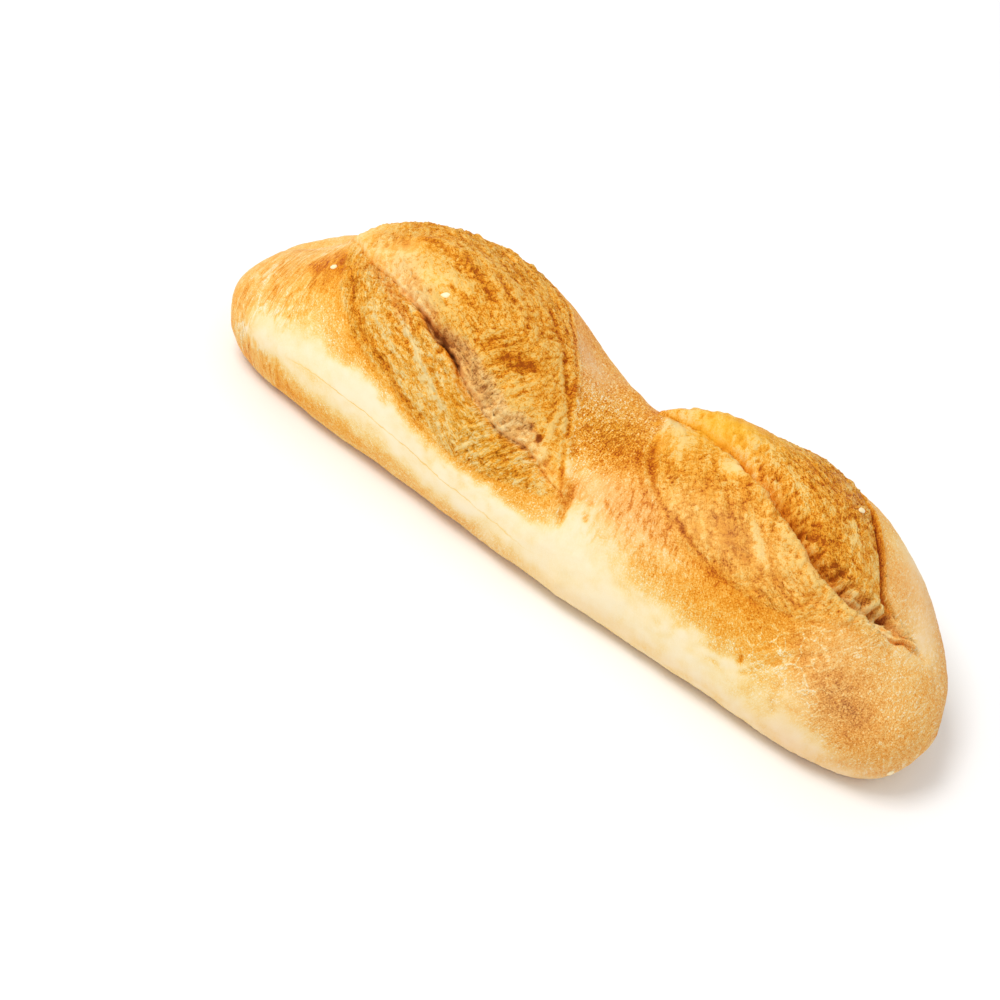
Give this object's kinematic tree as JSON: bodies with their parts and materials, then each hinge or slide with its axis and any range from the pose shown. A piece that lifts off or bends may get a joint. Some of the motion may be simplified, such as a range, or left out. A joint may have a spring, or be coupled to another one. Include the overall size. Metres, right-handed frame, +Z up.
{
  "type": "mini baguette",
  "caption": "Short crusty loaf of white bread with a flat base, a slim waist and slanting cuts burst open on top.",
  "frame": {"origin": "middle of the bounding box, on the flat base", "axes": "+X along the loaf, +Y across it towards the far flank, +Z up through the crown"},
  "size_m": [0.22, 0.0694, 0.0545],
  "materials": {
    "crust": "baked wheat crust, golden on top and cream on the flank, satin on the skin and rough in the torn cuts"
  },
  "bodies": {
    "root": {"loaf": "crust"}
  },
  "joints": []
}
